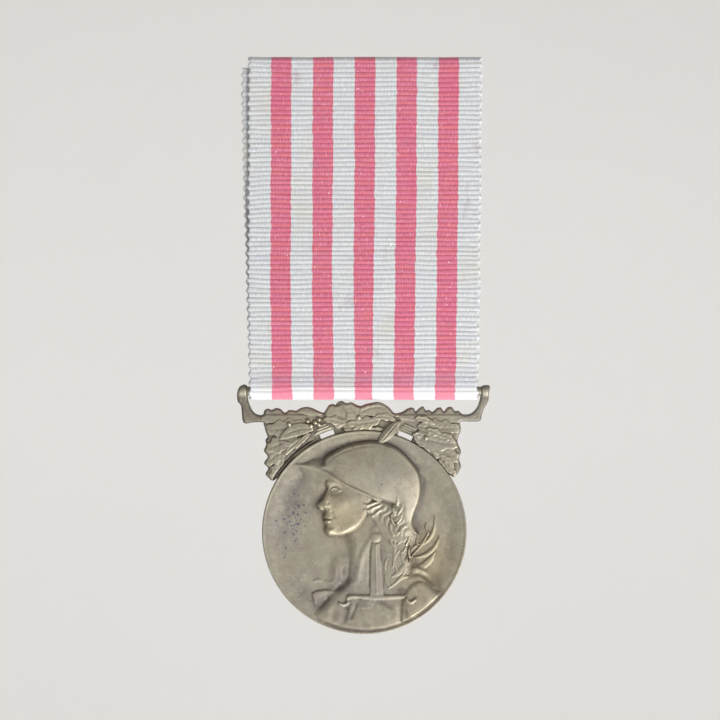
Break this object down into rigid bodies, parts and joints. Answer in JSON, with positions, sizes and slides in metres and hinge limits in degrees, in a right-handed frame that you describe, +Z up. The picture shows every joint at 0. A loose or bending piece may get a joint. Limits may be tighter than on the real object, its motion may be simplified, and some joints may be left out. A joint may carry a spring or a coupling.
{
  "type": "military service medal",
  "caption": "Round struck medal in a foliage suspender, hanging by a ribbon bar from a striped folded ribbon on a pin-back brooch.",
  "frame": {"origin": "centre of the brooch plate's back face, where it lies against the wearer's coat", "axes": "+Z up along the hanging ribbon, +Y out of the brooch's back towards the coat, so the obverse looks along -Y; +X to the viewer's right"},
  "size_m": [0.0412, 0.0065, 0.0927],
  "materials": {
    "bronze": "struck bronze with a satin olive-brown patina, worn bright on the high spots",
    "solder": "dull silver solder, toned",
    "brooch_brass": "rolled brass, lightly tarnished",
    "pin_steel": "drawn steel wire, ground to a point",
    "ribbon_silk": "ribbed silk grosgrain, cream with five coral-red stripes",
    "thread": "twisted cotton thread"
  },
  "bodies": {
    "brooch": {"brooch_plate": "brooch_brass", "hinge_block": "brooch_brass", "hinge_rivet": "brooch_brass", "catch_clip": "brooch_brass", "sewing_thread_left": "thread", "sewing_thread_right": "thread", "ribbon_head": "ribbon_silk", "ribbon_tail": "ribbon_silk"},
    "pin": {"pin_stem": "pin_steel"},
    "ribbon": {"ribbon_drop": "ribbon_silk"},
    "medal": {"medal_disc": "bronze", "suspender_bracket": "bronze", "suspender_arm_left": "bronze", "suspender_arm_right": "bronze", "ribbon_bar": "bronze", "solder_left": "solder", "solder_top": "solder", "solder_right": "solder"}
  },
  "joints": [
    {"name": "pin_swing", "type": "hinge", "parent": "brooch", "child": "pin", "pos_m": [-0.0122, 0.00145, 0], "axis": [0, 0, 1], "range_deg": [0, 80]},
    {"name": "ribbon_flex", "type": "hinge", "parent": "brooch", "child": "ribbon", "pos_m": [0, -0.00205, -0.0062], "axis": [1, 0, 0], "range_deg": [-60, 60]},
    {"name": "medal_swing", "type": "hinge", "parent": "ribbon", "child": "medal", "pos_m": [0, -0.00205, -0.0498], "axis": [1, 0, 0], "range_deg": [-90, 90]}
  ]
}
